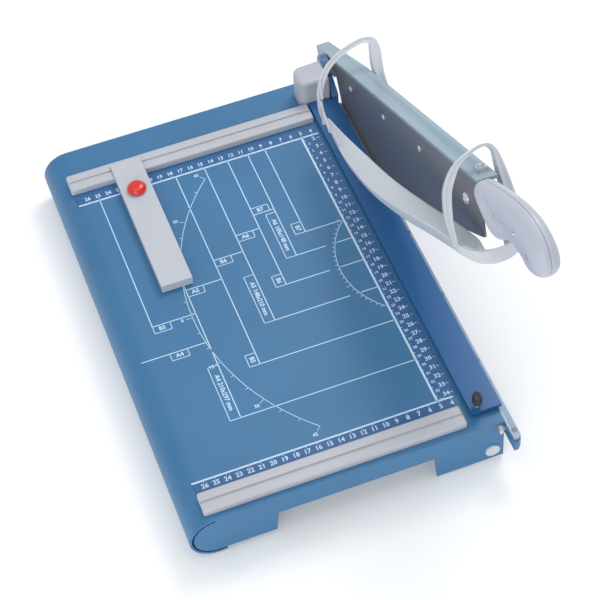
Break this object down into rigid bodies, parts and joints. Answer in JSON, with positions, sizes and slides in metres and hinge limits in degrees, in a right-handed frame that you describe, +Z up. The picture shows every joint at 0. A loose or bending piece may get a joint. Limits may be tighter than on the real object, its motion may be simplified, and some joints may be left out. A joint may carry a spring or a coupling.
{
  "type": "guillotine paper cutter",
  "caption": "Lever paper cutter with a steel table, stop rails, clamp bar, hinged blade arm, finger guard that follows the arm, and a sliding back stop.",
  "frame": {"origin": "centre of the bounding box, at the underside of the rubber feet", "axes": "+X to the right of the cutting edge, +Y to the back where the arm is hinged, +Z up; front of the machine at -Y"},
  "size_m": [0.323, 0.5022, 0.3023],
  "materials": {
    "table_blue": "satin",
    "clamp_blue": "satin",
    "rail_grey": "satin",
    "bracket_blue": "satin",
    "knife_steel": "ground",
    "blade_steel": "ground",
    "fastener_steel": "plated",
    "dark_steel": "blackened",
    "spring_steel": "satin",
    "brass": "satin",
    "carrier_grey": "satin",
    "grip_grey": "fine grain",
    "guard_grey": "satin",
    "cover_grey": "fine grain",
    "stop_grey": "fine grain",
    "knob_red": "gloss",
    "knob_black": "matte",
    "foot_rubber": "matte",
    "plug_white": "satin"
  },
  "bodies": {
    "base": {"base_table": "table_blue", "rubber_feet": "foot_rubber", "skirt_plug": "plug_white", "side_rail": "table_blue", "counter_knife": "knife_steel", "counter_knife_screws": "dark_steel", "side_rail_bolts": "fastener_steel", "rear_stop_rail": "rail_grey", "rear_stop_screws": "fastener_steel", "front_stop_rail": "rail_grey", "front_stop_screws": "fastener_steel", "pivot_bracket": "bracket_blue", "bracket_bolts": "fastener_steel", "pivot_bolt": "fastener_steel", "pivot_nut": "fastener_steel", "pivot_disc_springs": "spring_steel", "pivot_sleeve": "fastener_steel", "pivot_thrust_washer": "brass", "pivot_washers": "brass", "pivot_cover": "cover_grey", "cover_screws": "fastener_steel", "clamp_spring_front": "spring_steel", "clamp_spring_rear": "spring_steel", "clamp_guide_pins": "fastener_steel", "clamp_pin_knobs": "knob_black", "clamp_spring_cups": "fastener_steel"},
    "clamp": {"clamp_bar": "clamp_blue"},
    "arm": {"knife_carrier": "carrier_grey", "upper_blade": "blade_steel", "blade_rivets": "fastener_steel", "blade_screw": "fastener_steel", "carrier_stud": "fastener_steel", "carrier_nut": "fastener_steel", "pivot_bush": "brass", "handle_left_shell": "grip_grey", "handle_right_shell": "grip_grey", "handle_screws": "fastener_steel"},
    "guard": {"guard_tray": "guard_grey", "guard_front_hoop": "guard_grey", "guard_rear_hoop": "guard_grey", "guard_rivets": "plug_white", "guard_link": "fastener_steel"},
    "back_stop": {"back_stop_slide": "stop_grey", "back_stop_shoe": "stop_grey"},
    "knob": {"back_stop_knob": "knob_red", "knob_insert": "brass", "knob_stud": "fastener_steel"}
  },
  "joints": [
    {"name": "arm_hinge", "type": "hinge", "parent": "base", "child": "arm", "pos_m": [0.1255, 0.21602, 0.07087], "axis": [1, 0, 0], "range_deg": [-12, 24]},
    {"name": "guard_swing", "type": "hinge", "parent": "arm", "child": "guard", "pos_m": [0.1255, 0.21602, 0.07087], "axis": [1, 0, 0], "range_deg": [-3, 1.5]},
    {"name": "clamp_press", "type": "slide", "parent": "base", "child": "clamp", "axis": [0, 0, 1], "range_m": [-0.0027, 0.0014], "deforming": ["clamp_spring_front", "clamp_spring_rear"]},
    {"name": "back_stop_travel", "type": "slide", "parent": "base", "child": "back_stop", "axis": [1, 0, 0], "range_m": [-0.036, 0.14]},
    {"name": "knob_turn", "type": "hinge", "parent": "back_stop", "child": "knob", "pos_m": [-0.09, 0.14766, 0.0592], "axis": [0, 0, 1], "range_deg": [0, 180]}
  ],
  "couplings": [
    {"joint": "guard_swing", "follows": "arm_hinge", "ratio": -0.125},
    {"joint": "clamp_press", "follows": "arm_hinge", "m_per_rad": -0.00644}
  ]
}
